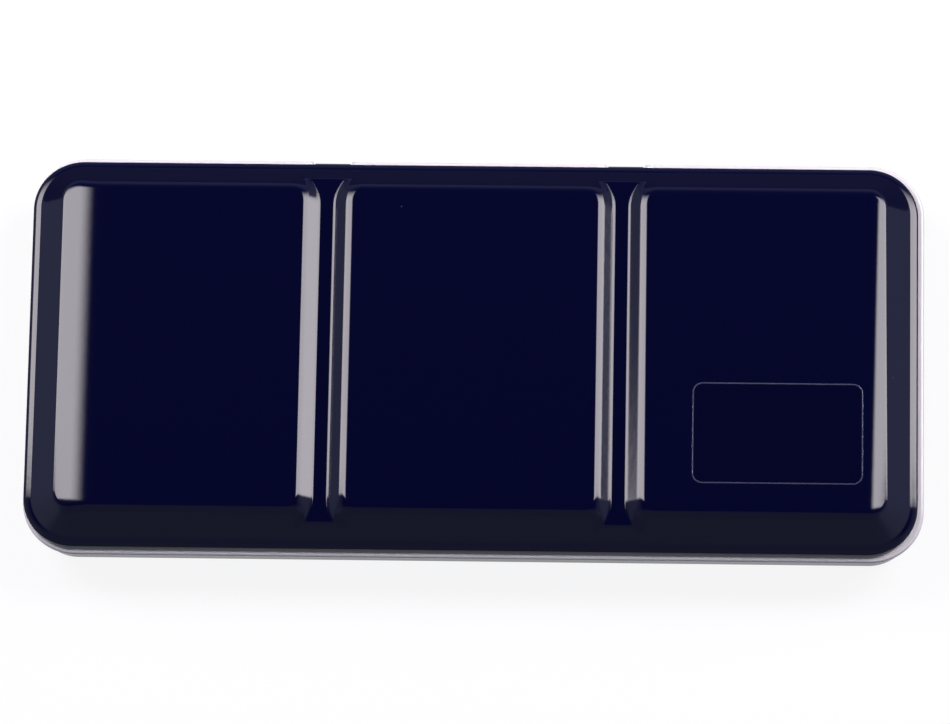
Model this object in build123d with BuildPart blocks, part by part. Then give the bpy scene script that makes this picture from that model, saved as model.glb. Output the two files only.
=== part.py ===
from math import atan2, degrees, hypot, radians, tan
import os

from build123d import *

# Closed tin, millimetres. X is the length, the near side is -Y, the hinge side is +Y,
# and the origin is the middle of the face that the tin rests on.

# Lid
lid_length = 212.0
lid_width = 96.0
closed_height = 22.0
lid_corner = 12.0
lid_curl_radius = 1.05
lid_curl_wrap = 280  # degrees of curl
lid_side_play = 0.3  # the lid sits this far to the left of the base
sheet = 0.4
wall_run = 5.3  # horizontal run of the sloping wall
groove_share = 0.331  # spacing of the two grooves as a share of the lid's length
groove_shift = 0.6  # both grooves lie this far to the left of the lid's middle
groove_floor_width = 2.6
groove_wall_run = 2.4
groove_depth = 3.0
panel_corner = 3.0
crown_fillet = 1.3
groove_fillet = 0.9

# Base
tray_depth = 13.3
rim_margin_x = 0.4  # the base's rim stands out past the lid's bead
rim_margin_y = 1.25
rim_curl_radius = 0.75
rim_curl_wrap = 240
rim_reach = 2.4  # from the base's wall to the rim's outer edge
seat_gap = 0.3  # between the base's rim and the lid's bead
foot_width = 4.6
foot_height = 2.2
foot_slope = 1.6
bottom_fillet = 2.2
lip_fillet = 0.28  # inner edge of the rim

# Hinges
hinge_drop = 2.2  # the pin lies this far below the top of the rim
hinge_offset = 0.25  # between the base's wall and the lid's leaf
knuckle_radius = 1.05
pin_radius = 0.5
pin_clearance = 0.05
leaf_thickness = 0.45
lid_knuckle_length = 8.4
base_knuckle_length = 4.5
knuckle_gap = 0.3
base_leaf_height = 3.4
notch_clearance = 0.45

# Rack and pans
pan_width = 16.0
pan_length = 19.0
pan_height = 10.0
pan_wall = 0.8
pan_floor = 0.9
pan_corner = 1.2
pan_gap = 0.8  # between neighbouring pans
pan_clearance = 0.1
row_border = 1.0  # from the edge of the rack's plate to the outer clips
rack_margin = 2.4  # from the rack's plate to the base's wall
rack_corner = 8.0
rack_end_height = 5.0
clip_height = 6.2
clip_width = 9.0
cake_depth = 7.2
cake_clearance = 0.1

# Brush, lying along X with its tuft to the right
handle_length = 104.0
handle_radius = 3.3
handle_neck_radius = 2.0
handle_tip_radius = 1.1
handle_belly = 0.62  # share of the handle's length from its tip to its widest place
ferrule_length = 19.0
ferrule_mouth_radius = 1.75
ferrule_sheet = 0.25
tuft_length = 15.0
tuft_belly_radius = 2.1
insert_length = 4.0
brush_seat = 0.05

# Thumb ring
ring_radius = 13.0
ring_band = 2.5
ring_thickness = 1.2
ring_fillet = 0.4
ring_drop = 0.1  # from the raised floor to the ring
ring_reach = 15.2  # from the ring's middle to its pivot
ring_arm_width = 1.6
ring_pivot_length = 10.0
ring_play = 0.05
saddle_sheet = 0.35
saddle_width = 6.4
saddle_foot = 6.0
rivet_radius = 0.75
rivet_head_radius = 1.35
rivet_head_height = 0.6
rivet_spacing = 3.4

# Clear label on the right panel
label_length = 40.2
label_width = 24.8
label_corner = 2.4
label_thickness = 0.1
label_margin_x = 13.9  # from the lid's right edge to the label
label_margin_y = 15.2  # from the lid's near edge to the label

# Heights and outlines that follow from the values above
groove_spacing = groove_share * lid_length
rim_length = lid_length + 2 * rim_margin_x
rim_width = lid_width + 2 * rim_margin_y
tray_length = rim_length - 2 * rim_reach
tray_width = rim_width - 2 * rim_reach
tray_corner = lid_corner + (rim_margin_x + rim_margin_y) / 2 - rim_reach
curl_z = tray_depth + seat_gap + lid_curl_radius
flange_z = curl_z + lid_curl_radius
crown_rise = closed_height - flange_z
groove_z = closed_height - groove_depth
floor_z = foot_height + sheet
pan_z = floor_z + sheet
pin_y = tray_width / 2 + hinge_offset + knuckle_radius
pin_z = tray_depth - hinge_drop
hinge_length = lid_knuckle_length + 2 * (base_knuckle_length + knuckle_gap)
hinge_x = (-groove_spacing / 2, groove_spacing / 2)
plate_length = tray_length - 2 * rack_margin
plate_width = tray_width - 2 * rack_margin
pitch = pan_width + pan_gap
pans_in_row = int((plate_length - 2 * sheet) / pitch)
row_side = pan_length / 2 + pan_clearance
row_spread = plate_width / 2 - row_border - sheet - row_side
channel_half = row_spread - row_side - sheet
brush_y = channel_half / 2
brush_length = handle_length - insert_length + ferrule_length + tuft_length
brush_start = -brush_length / 2
label_x = lid_length / 2 - lid_side_play - label_margin_x - label_length / 2
label_y = label_margin_y + label_width / 2 - lid_width / 2
ring_z = foot_height - ring_drop - ring_thickness / 2
saddle_inner = ring_thickness / 2 + ring_play
saddle_outer = saddle_inner + saddle_sheet
saddle_end = ring_reach + saddle_outer + saddle_foot
rivet_y = saddle_end - saddle_foot / 2
rivet_places = [(-rivet_spacing / 2, rivet_y, floor_z), (rivet_spacing / 2, rivet_y, floor_z)]


os.makedirs("parts", exist_ok=True)


def export(part, name):
    part.label = name
    export_step(part, f"parts/{name}.step")


def edge_loop(length, width, corner, height):
    """Closed rounded rectangle that starts at the middle of its near side."""
    with BuildLine(Plane.XY.offset(height)) as loop:
        FilletPolyline(
            (0, -width / 2),
            (length / 2, -width / 2),
            (length / 2, width / 2),
            (0, width / 2),
            radius=corner,
        )
        mirror(about=Plane.YZ)
    return loop.wire()


def rolled_edge(length, width, corner, height, radius, wrap):
    """Curl of sheet round the rim: it leaves the flange on top and wraps outwards and under."""
    mid_length = length - 2 * radius
    mid_width = width - 2 * radius
    inner = radius - sheet
    start = Plane(origin=(0, -mid_width / 2, height), x_dir=(0, -1, 0), z_dir=(-1, 0, 0))
    with BuildPart() as curl:
        with BuildSketch(start):
            with BuildLine():
                outer_arc = CenterArc((0, 0), radius, 90, -wrap)
                inner_arc = CenterArc((0, 0), inner, 90, -wrap)
                Line(outer_arc @ 0, inner_arc @ 0)
                Line(outer_arc @ 1, inner_arc @ 1)
            make_face()
        sweep(path=edge_loop(mid_length, mid_width, corner - radius, height))
    return curl.part


def panelled_block(foot_z, inset, top_z, channel_z, floor_half, corner, crown, root):
    """Solid with the lid's sloping wall, its two grooves and its rounded crowns."""
    slope = degrees(atan2(wall_run, crown_rise))
    length = lid_length - 4 * lid_curl_radius - 2 * inset
    width = lid_width - 4 * lid_curl_radius - 2 * inset
    foot_corner = lid_corner - 2 * lid_curl_radius - inset
    depth = top_z - channel_z
    half_top = floor_half + groove_wall_run * depth / groove_depth
    with BuildPart() as block:
        with BuildSketch(Plane.XY.offset(foot_z)):
            RectangleRounded(length, width, foot_corner)
        extrude(amount=top_z - foot_z, taper=slope)
        with BuildSketch(Plane.XZ.offset(-lid_width)):
            for side in (-1, 1):
                middle = side * groove_spacing / 2 - groove_shift
                with BuildLine():
                    Polyline(
                        (middle - floor_half, channel_z),
                        (middle + floor_half, channel_z),
                        (middle + half_top, top_z),
                        (middle - half_top, top_z),
                        close=True,
                    )
                make_face()
        extrude(amount=2 * lid_width, mode=Mode.SUBTRACT)
        ends = [
            edge
            for edge in block.edges().filter_by(GeomType.LINE)
            if abs(abs(edge.center().X + groove_shift) - groove_spacing / 2) < half_top
            and abs(edge.tangent_at(0).Z) > 0.3
            and edge.center().Z > channel_z
        ]
        fillet(ends, corner)
        floors = block.faces().filter_by(Axis.Z).group_by(Axis.Z)[-2]
        fillet([edge for edge in floors.edges() if abs(edge.tangent_at(0.5).Y) > 0.1], root)
        fillet(block.faces().filter_by(Axis.Z).group_by(Axis.Z)[-1].edges(), crown)
    return block.part


def lid_shell():
    """The pressed sheet: the outer form less the same form one sheet further in."""
    wall_shift = sheet * hypot(wall_run, crown_rise) / crown_rise
    groove_shift = sheet * hypot(groove_wall_run, groove_depth) / groove_depth
    floor_shift = groove_shift - sheet * groove_wall_run / groove_depth
    foot_inset = wall_shift - sheet * wall_run / crown_rise
    outer = panelled_block(
        flange_z,
        0,
        closed_height,
        groove_z,
        groove_floor_width / 2,
        panel_corner,
        crown_fillet,
        groove_fillet,
    )
    inner = panelled_block(
        flange_z - sheet,
        foot_inset,
        closed_height - sheet,
        groove_z - sheet,
        groove_floor_width / 2 + floor_shift,
        panel_corner + sheet,
        crown_fillet - sheet / 2,
        groove_fillet + sheet / 2,
    )
    with BuildPart() as shell:
        with BuildSketch(Plane.XY.offset(flange_z - sheet)):
            RectangleRounded(
                lid_length - 2 * lid_curl_radius,
                lid_width - 2 * lid_curl_radius,
                lid_corner - lid_curl_radius,
            )
        extrude(amount=sheet)
        add(outer)
        add(inner, mode=Mode.SUBTRACT)
    return shell.part


# Lid with its curl and the two hinge leaves
with BuildPart() as lid:
    add(lid_shell())
    add(rolled_edge(lid_length, lid_width, lid_corner, curl_z, lid_curl_radius, lid_curl_wrap))
lid_sheet = lid.part.moved(Location((-lid_side_play, 0, 0)))

leaf_y = pin_y - knuckle_radius
with BuildPart() as lid:
    add(lid_sheet)
    for x in hinge_x:
        with BuildSketch(Plane.YZ.offset(x - lid_knuckle_length / 2)):
            with Locations((pin_y, pin_z)):
                Circle(knuckle_radius)
            with Locations((leaf_y, pin_z)):
                Rectangle(
                    leaf_thickness,
                    curl_z - lid_curl_radius + sheet - pin_z,
                    align=(Align.MIN, Align.MIN),
                )
            with Locations((pin_y, pin_z)):
                Circle(pin_radius + pin_clearance, mode=Mode.SUBTRACT)
        extrude(amount=lid_knuckle_length)
export(lid.part, "lid")

# Base: outer form, less the foot's recess, less the room inside
recess_length = tray_length - 2 * foot_width
recess_width = tray_width - 2 * foot_width
recess_corner = tray_corner - foot_width
recess_taper = degrees(atan2(foot_slope, foot_height))
raised_edge = sheet * tan(radians(recess_taper) / 2)
with BuildPart() as tray_room:
    with BuildSketch(Plane.XY.offset(sheet)):
        RectangleRounded(tray_length - 2 * sheet, tray_width - 2 * sheet, tray_corner - sheet)
    extrude(amount=tray_depth)
    fillet(tray_room.faces().sort_by(Axis.Z)[0].edges(), bottom_fillet - sheet)
    with BuildSketch(Plane.XY.offset(sheet)):
        RectangleRounded(
            recess_length + 2 * (sheet - raised_edge),
            recess_width + 2 * (sheet - raised_edge),
            recess_corner + sheet - raised_edge,
        )
    extrude(amount=foot_height, taper=recess_taper, mode=Mode.SUBTRACT)

with BuildPart() as base_tray:
    with BuildSketch():
        RectangleRounded(tray_length, tray_width, tray_corner)
    extrude(amount=tray_depth)
    fillet(base_tray.faces().sort_by(Axis.Z)[0].edges(), bottom_fillet)
    with BuildSketch(Plane.XY.offset(tray_depth - sheet)):
        RectangleRounded(
            rim_length - 2 * rim_curl_radius,
            rim_width - 2 * rim_curl_radius,
            tray_corner + rim_reach - rim_curl_radius,
        )
    extrude(amount=sheet)
    with BuildSketch():
        RectangleRounded(recess_length, recess_width, recess_corner)
    extrude(amount=foot_height, taper=recess_taper, mode=Mode.SUBTRACT)
    add(tray_room.part, mode=Mode.SUBTRACT)
    lip = base_tray.faces().filter_by(Axis.Z).sort_by(Axis.Z)[-1].inner_wires()[0]
    fillet(lip.edges(), lip_fillet)
    add(
        rolled_edge(
            rim_length,
            rim_width,
            tray_corner + rim_reach,
            tray_depth - rim_curl_radius,
            rim_curl_radius,
            rim_curl_wrap,
        )
    )
    for x in hinge_x:
        with Locations((x, tray_width / 2 + sheet / 2, tray_depth)):
            Box(
                lid_knuckle_length + 2 * notch_clearance,
                rim_reach,
                2 * (hinge_drop - knuckle_radius + notch_clearance),
                align=(Align.CENTER, Align.MIN, Align.CENTER),
                mode=Mode.SUBTRACT,
            )
    for x in hinge_x:
        for start in (x - hinge_length / 2, x + hinge_length / 2 - base_knuckle_length):
            with BuildSketch(Plane.YZ.offset(start)):
                with Locations((pin_y, pin_z)):
                    Circle(knuckle_radius)
                with Locations((tray_width / 2 - sheet / 2, pin_z)):
                    Rectangle(
                        sheet / 2 + hinge_offset + leaf_thickness,
                        base_leaf_height,
                        align=(Align.MIN, Align.MAX),
                    )
                with Locations((pin_y, pin_z)):
                    Circle(pin_radius, mode=Mode.SUBTRACT)
            extrude(amount=base_knuckle_length)
    with Locations(*rivet_places):
        Hole(rivet_radius, depth=floor_z)
export(base_tray.part, "base_tray")

# Rack: floor plate, two ends and four rows of spring clips
with BuildPart() as pan_rack:
    with BuildSketch(Plane.XY.offset(floor_z)):
        RectangleRounded(plate_length, plate_width, rack_corner)
    extrude(amount=sheet)
    for side in (-1, 1):
        with Locations((side * (plate_length - sheet) / 2, 0, floor_z)):
            Box(
                sheet,
                plate_width - 2 * rack_corner,
                rack_end_height,
                align=(Align.CENTER, Align.CENTER, Align.MIN),
            )
    for row in (-row_spread, row_spread):
        for side in (-1, 1):
            with BuildSketch(Plane.XY.offset(pan_z)):
                with Locations((0, row + side * (row_side + sheet / 2))):
                    with GridLocations(pitch, 0, pans_in_row, 1):
                        Rectangle(clip_width, sheet)
            extrude(amount=clip_height)
export(pan_rack.part, "pan_rack")

# Half pans, numbered along the near row and then along the far row
cavity_length = pan_length - 2 * pan_wall
cavity_width = pan_width - 2 * pan_wall
cavity_corner = pan_corner - pan_wall / 2
number = 0
for row in (-row_spread, row_spread):
    for column in range(pans_in_row):
        number += 1
        x = (column - (pans_in_row - 1) / 2) * pitch
        with BuildPart() as pan:
            with BuildSketch(Plane.XY.offset(pan_z)):
                with Locations((x, row)):
                    RectangleRounded(pan_width, pan_length, pan_corner)
            extrude(amount=pan_height)
            with BuildSketch(Plane.XY.offset(pan_z + pan_floor)):
                with Locations((x, row)):
                    RectangleRounded(cavity_width, cavity_length, cavity_corner)
            extrude(amount=pan_height, mode=Mode.SUBTRACT)
        export(pan.part, f"pan_{number:02d}")
        with BuildPart() as paint:
            with BuildSketch(Plane.XY.offset(pan_z + pan_floor)):
                with Locations((x, row)):
                    RectangleRounded(
                        cavity_width - 2 * cake_clearance,
                        cavity_length - 2 * cake_clearance,
                        cavity_corner - cake_clearance,
                    )
            extrude(amount=cake_depth)
        export(paint.part, f"paint_{number:02d}")

# Brush: its parts are turned about one line above the rack's plate
brush_z = pan_z + handle_radius + brush_seat
brush_line = Axis((0, brush_y, brush_z), (1, 0, 0))
brush_plane = Plane(origin=(0, brush_y, brush_z), x_dir=(1, 0, 0), z_dir=(0, -1, 0))
handle_end = brush_start + handle_length
ferrule_start = handle_end - insert_length
ferrule_end = ferrule_start + ferrule_length
with BuildPart() as brush_handle:
    with BuildSketch(brush_plane):
        with BuildLine():
            side_line = Spline(
                (brush_start, handle_tip_radius),
                (brush_start + handle_length * handle_belly, handle_radius),
                (ferrule_start, handle_neck_radius + ferrule_sheet),
            )
            Polyline(
                side_line @ 1,
                (ferrule_start, handle_neck_radius),
                (handle_end, handle_neck_radius),
                (handle_end, 0),
                (brush_start, 0),
                side_line @ 0,
            )
        make_face()
    revolve(axis=brush_line)
    fillet(brush_handle.faces().sort_by(Axis.X)[0].edges(), handle_tip_radius * 0.8)
export(brush_handle.part, "brush_handle")

with BuildPart() as brush_ferrule:
    with BuildSketch(brush_plane):
        Polygon(
            (ferrule_start, handle_neck_radius),
            (ferrule_start, handle_neck_radius + ferrule_sheet),
            (handle_end, handle_neck_radius + ferrule_sheet),
            (ferrule_end, ferrule_mouth_radius + ferrule_sheet),
            (ferrule_end, ferrule_mouth_radius),
            (handle_end, handle_neck_radius),
            align=None,
        )
    revolve(axis=brush_line)
export(brush_ferrule.part, "brush_ferrule")

with BuildPart() as brush_tuft:
    with BuildSketch(brush_plane):
        with BuildLine():
            root = (ferrule_end - insert_length, 0)
            mouth = (ferrule_end, ferrule_mouth_radius)
            tip = (ferrule_end + tuft_length, 0)
            belly = (ferrule_end + tuft_length / 3, tuft_belly_radius)
            taper_line = Line(
                (ferrule_end - insert_length, ferrule_mouth_radius),
                mouth,
            )
            Line(root, taper_line @ 0)
            Spline(mouth, belly, tip)
            Line(tip, root)
        make_face()
    revolve(axis=brush_line)
export(brush_tuft.part, "brush_tuft")

# Thumb ring, folded flat into the recess under the floor
ring_plane = Plane.XY.offset(ring_z - ring_thickness / 2)
with BuildPart() as thumb_ring:
    with BuildSketch(ring_plane):
        Circle(ring_radius)
        for side in (-1, 1):
            with Locations((side * (ring_pivot_length - ring_arm_width) / 2, 0)):
                Rectangle(ring_arm_width, ring_reach, align=(Align.CENTER, Align.MIN))
        Circle(ring_radius - ring_band, mode=Mode.SUBTRACT)
    extrude(amount=ring_thickness)
    bands = [
        edge
        for edge in thumb_ring.edges().filter_by(GeomType.CIRCLE)
        if edge.radius > ring_thickness and edge.bounding_box().size.Z < ring_fillet
    ]
    fillet(bands, ring_fillet)
    with BuildSketch(Plane.YZ.offset(-ring_pivot_length / 2)):
        with Locations((ring_reach, ring_z)):
            Circle(ring_thickness / 2)
    extrude(amount=ring_pivot_length)
export(thumb_ring.part, "thumb_ring")

# Clip that holds the ring's pivot against the floor
with BuildPart() as ring_bracket:
    with BuildSketch(Plane.YZ.offset(-saddle_width / 2)):
        with BuildLine():
            outer_arc = CenterArc((ring_reach, ring_z), saddle_outer, 0, -180)
            inner_arc = CenterArc((ring_reach, ring_z), saddle_inner, 0, -180)
            Line(outer_arc @ 1, inner_arc @ 1)
            Polyline(
                outer_arc @ 0,
                (ring_reach + saddle_outer, foot_height - saddle_sheet),
                (saddle_end, foot_height - saddle_sheet),
                (saddle_end, foot_height),
                (ring_reach + saddle_inner, foot_height),
                inner_arc @ 0,
            )
        make_face()
    extrude(amount=saddle_width)
    with Locations(*rivet_places):
        Hole(rivet_radius, depth=floor_z)
export(ring_bracket.part, "ring_bracket")

with BuildPart() as ring_rivets:
    head_z = foot_height - saddle_sheet
    for place in rivet_places:
        with BuildSketch(Plane.XY.offset(head_z)):
            with Locations(place[:2]):
                Circle(rivet_head_radius)
        extrude(amount=-rivet_head_height)
    fillet(ring_rivets.faces().group_by(Axis.Z)[0].edges(), rivet_head_height * 0.6)
    for place in rivet_places:
        with BuildSketch(Plane.XY.offset(head_z)):
            with Locations(place[:2]):
                Circle(rivet_radius)
        extrude(amount=floor_z - head_z)
export(ring_rivets.part, "ring_rivets")

# Clear label, bare, on the right panel
with BuildPart() as clear_label:
    with BuildSketch(Plane.XY.offset(closed_height)):
        with Locations((label_x, label_y)):
            RectangleRounded(label_length, label_width, label_corner)
    extrude(amount=label_thickness)
export(clear_label.part, "clear_label")

# One pin for each hinge
with BuildPart() as hinge_pins:
    for x in hinge_x:
        with BuildSketch(Plane.YZ.offset(x - hinge_length / 2)):
            with Locations((pin_y, pin_z)):
                Circle(pin_radius)
        extrude(amount=hinge_length)
export(hinge_pins.part, "hinge_pins")
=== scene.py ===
import math

import bmesh
import bpy
import numpy as np
from mathutils import Euler, Matrix


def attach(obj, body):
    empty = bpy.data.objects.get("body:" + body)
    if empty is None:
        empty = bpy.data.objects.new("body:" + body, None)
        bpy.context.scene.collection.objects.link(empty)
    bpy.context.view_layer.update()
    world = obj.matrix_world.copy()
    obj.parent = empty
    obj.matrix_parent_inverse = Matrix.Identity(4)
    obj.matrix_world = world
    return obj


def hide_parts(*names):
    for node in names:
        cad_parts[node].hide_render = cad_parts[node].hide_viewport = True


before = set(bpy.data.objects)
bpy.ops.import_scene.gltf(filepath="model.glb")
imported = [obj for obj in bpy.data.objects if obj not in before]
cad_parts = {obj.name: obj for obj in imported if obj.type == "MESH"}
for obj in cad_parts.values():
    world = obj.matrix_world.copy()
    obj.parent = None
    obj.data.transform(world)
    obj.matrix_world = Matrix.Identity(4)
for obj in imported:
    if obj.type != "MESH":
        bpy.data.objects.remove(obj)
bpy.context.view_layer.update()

mm = 0.001
print("frame loaded")


# Small helpers for colour, nodes and meshes

def hexLinear(code, alpha=1.0):
    # sRGB hex to linear: a straight piece near black, then a power of 2.4
    out = []
    for i in (0, 2, 4):
        c = int(code[i:i + 2], 16) / 255
        out.append(c / 12.92 if c <= 0.04045 else ((c + 0.055) / 1.055) ** 2.4)
    return (*out, alpha)


def addNode(tree, kind, settings=None, links=None):
    # one shader node: settings name properties or input sockets, links feed input sockets
    node = tree.nodes.new(kind)
    for key, value in (settings or {}).items():
        if isinstance(key, str) and hasattr(node, key):
            setattr(node, key, value)
        else:
            node.inputs[key].default_value = value
    for key, socket in (links or {}).items():
        tree.links.new(socket, node.inputs[key])
    return node


def newMaterial(name):
    material = bpy.data.materials.new(name)
    material.use_nodes = True
    material.node_tree.nodes.clear()
    return material, material.node_tree


def finishMaterial(tree, shader):
    addNode(tree, "ShaderNodeOutputMaterial", links={"Surface": shader.outputs[0]})


def smoothStep(t):
    # 3 t^2 - 2 t^3 between 0 and 1
    t = np.clip(t, 0, 1)
    return t * t * (3 - 2 * t)


def smoothMin(a, b, k):
    # the lower of two heights, their meeting line rounded over a band k
    h = np.maximum(k - np.abs(a - b), 0) / k
    return np.minimum(a, b) - h * h * k / 4


def gridFaces(rows, columns, closeRows=False, closeColumns=False):
    # quads between neighbouring rows and columns of a grid of points numbered row by row
    r = np.arange(rows if closeRows else rows - 1)
    c = np.arange(columns if closeColumns else columns - 1)
    r, c = np.meshgrid(r, c, indexing="ij")
    rNext, cNext = (r + 1) % rows, (c + 1) % columns
    quads = [r * columns + c, rNext * columns + c, rNext * columns + cNext, r * columns + cNext]
    return np.stack(quads, axis=-1).reshape(-1, 4)


def makePiece(name, parts, materials, body, closed=True, values=None):
    # one object from parts of (points in mm, faces); closed shells get their faces turned outwards
    points, faces, start = [], [], 0
    for xyz, quads in parts:
        xyz = np.asarray(xyz, float).reshape(-1, 3)
        points.append(xyz * mm)
        faces += (np.asarray(quads) + start).tolist()
        start += len(xyz)
    mesh = bpy.data.meshes.new(name)
    mesh.from_pydata(np.concatenate(points), [], faces)
    for valueName, data in (values or {}).items():
        mesh.attributes.new(valueName, "FLOAT", "POINT").data.foreach_set("value", np.ravel(data))
    for material in materials:
        mesh.materials.append(material)
    tool = bmesh.new()
    tool.from_mesh(mesh)
    bmesh.ops.remove_doubles(tool, verts=tool.verts, dist=2e-6)
    bmesh.ops.dissolve_degenerate(tool, edges=tool.edges, dist=1e-6)
    if closed:
        bmesh.ops.recalc_face_normals(tool, faces=tool.faces)
    tool.to_mesh(mesh)
    tool.free()
    mesh.polygons.foreach_set("use_smooth", np.ones(len(mesh.polygons), bool))
    mesh.set_sharp_from_angle(angle=math.radians(50))
    mesh.update()
    piece = bpy.data.objects.new(name, mesh)
    bpy.context.scene.collection.objects.link(piece)
    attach(piece, body)
    return piece


def thicken(piece, sheet):
    # sheet metal: the second material is the far side of the sheet
    skin = piece.modifiers.new("sheet", "SOLIDIFY")
    skin.thickness = sheet * mm
    skin.offset = -1
    skin.use_even_offset = True
    skin.material_offset = 1
    skin.material_offset_rim = 0


def loopStations(coreX, coreY, xs, ys, cornerSteps):
    # stations round a rounded rectangle: a point of its sharp core and the outward normal there
    turn = np.linspace(0, np.pi / 2, cornerSteps + 2)[1:-1]
    core, normal = [], []
    for points, side, corner, startAngle in (
        (np.c_[xs, np.full(len(xs), -coreY)], (0, -1), (coreX, -coreY), -np.pi / 2),
        (np.c_[np.full(len(ys), coreX), ys], (1, 0), (coreX, coreY), 0),
        (np.c_[xs[::-1], np.full(len(xs), coreY)], (0, 1), (-coreX, coreY), np.pi / 2),
        (np.c_[np.full(len(ys), -coreX), ys[::-1]], (-1, 0), (-coreX, -coreY), np.pi),
    ):
        angle = startAngle + turn
        core += [points, np.tile(corner, (cornerSteps, 1))]
        normal += [np.tile(side, (len(points), 1)), np.c_[np.cos(angle), np.sin(angle)]]
    return np.concatenate(core).astype(float), np.concatenate(normal).astype(float)


def carryProfile(core, normal, reach, offsets, heights):
    # profile carried round the loop: each point is core + (reach + offset) * normal
    xy = core[:, None, :] + (reach + np.asarray(offsets))[None, :, None] * normal[:, None, :]
    z = np.broadcast_to(np.asarray(heights, float), xy.shape[:2])
    return np.concatenate([xy, z[..., None]], axis=-1)


def ringShell(size, corner, rings, centre, cornerSteps=6, sideSteps=2):
    # closed shell of rounded rectangles: ring = (offset, scale, height), scale 0 closes a pole
    half = (size[0] / 2 - corner, size[1] / 2 - corner)
    xs = np.linspace(-half[0], half[0], sideSteps)
    ys = np.linspace(-half[1], half[1], sideSteps)
    core, normal = loopStations(*half, xs, ys, cornerSteps)
    rings = np.array(rings, float)
    xyz = carryProfile(core, normal, corner, rings[:, 0], rings[:, 2])
    xyz[..., :2] = xyz[..., :2] * rings[None, :, 1, None] + np.asarray(centre)
    return xyz, gridFaces(len(core), len(rings), closeRows=True)


def lathe(axis, profile, steps=40, closeProfile=False):
    # profile of (x, radius) turned about a line along X through axis = (y, z)
    angle = np.linspace(0, 2 * np.pi, steps, endpoint=False)
    x, r = np.array(profile, float).T
    xyz = np.stack([
        np.broadcast_to(x, (steps, len(x))),
        axis[0] + np.cos(angle)[:, None] * r,
        axis[1] + np.sin(angle)[:, None] * r,
    ], axis=-1)
    return xyz, gridFaces(steps, len(x), closeRows=True, closeColumns=closeProfile)


def stripAlong(path, thickness, low, high, place=lambda p: p):
    # flat strip bent along a path in a plane: half the thickness either side of it, and across
    # from low to high; place turns (across, u, z) into x, y, z where they aren't the same
    path = np.array(path, float)
    run = np.gradient(path, axis=0)
    run /= np.linalg.norm(run, axis=1, keepdims=True)
    side = np.c_[-run[:, 1], run[:, 0]] * thickness / 2
    a, b = path + side, path - side
    across = np.ones(len(path))
    corners = [np.c_[across * low, a], np.c_[across * low, b],
               np.c_[across * high, b], np.c_[across * high, a]]
    xyz = place(np.stack(corners, axis=1))
    last = 4 * (len(path) - 1)
    faces = np.concatenate([gridFaces(len(path), 4, closeColumns=True),
                            [[3, 2, 1, 0], [last, last + 1, last + 2, last + 3]]])
    return xyz, faces


# Camera at the photograph's viewing angle

cameraSpec = {
    "place": (49.13, -564.43, 1805.24),       # mm
    "turn": (17.4783, 1.2449, 1.0455),        # degrees
    "lens": 300.0,
}
cameraData = bpy.data.cameras.new("camera")
cameraData.lens = cameraSpec["lens"]
cameraData.sensor_width = 36.0
cameraData.clip_start, cameraData.clip_end = 0.05, 20.0
cameraObject = bpy.data.objects.new("camera", cameraData)
cameraObject.location = [v * mm for v in cameraSpec["place"]]
cameraObject.rotation_euler = Euler([math.radians(a) for a in cameraSpec["turn"]])
bpy.context.scene.collection.objects.link(cameraObject)
bpy.context.scene.camera = cameraObject
bpy.context.scene.view_settings.view_transform = "Standard"
print("camera set")


# Floor, lamps and surroundings

studio = {
    "floorColour": "f7f7f8",
    "floorGlow": 0.96,            # what camera, gloss and glass see of the pale sweep
    "floorGlowAway": 0.01,        # what gloss and glass see of it away from the tin
    "floorAlbedo": (0.04, 0.16),  # towards the object, towards the camera
    "clearHalf": (0.110, 0.064),  # the sweep is fully pale inside this, in metres
    "fadeRun": 0.012,
    "floorReach": 1.6,
    # cards: inner and outer edge as (x, z) in metres, and the share that fades at each of them
    "left": {"inner": (-0.30, 1.139), "outer": (-0.90, 0.345), "soft": (0.24, 0.08)},
    "right": {"inner": (0.335, 1.093), "outer": (0.98, 0.255), "soft": (0.16, 0.02)},
    "cardSpan": (0.19, 0.95),     # from and to along y, in metres
    "cardSoft": (0.06, 0.74),     # the share that fades at its two ends
    "radiance": 7.8,
    "lampColour": (1.0, 0.94, 0.985),
    # colours by the height of the direction
    "sky": ((0.0, "787c98"), (0.26, "70748e"), (0.45, "34353f"), (0.8, "0a0a0e")),
    "glowTint": (0.9, 0.93, 1.0, 1.0),
    "frontGlow": 0.14,            # pale surroundings in front, above the near wall's reflection
    "frontBand": (-0.05, -0.35), "frontRise": (0.25, 0.5),
    "sideGlow": 0.15,             # and low at both sides
    "sideBand": (0.6, 0.9),
}


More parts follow.
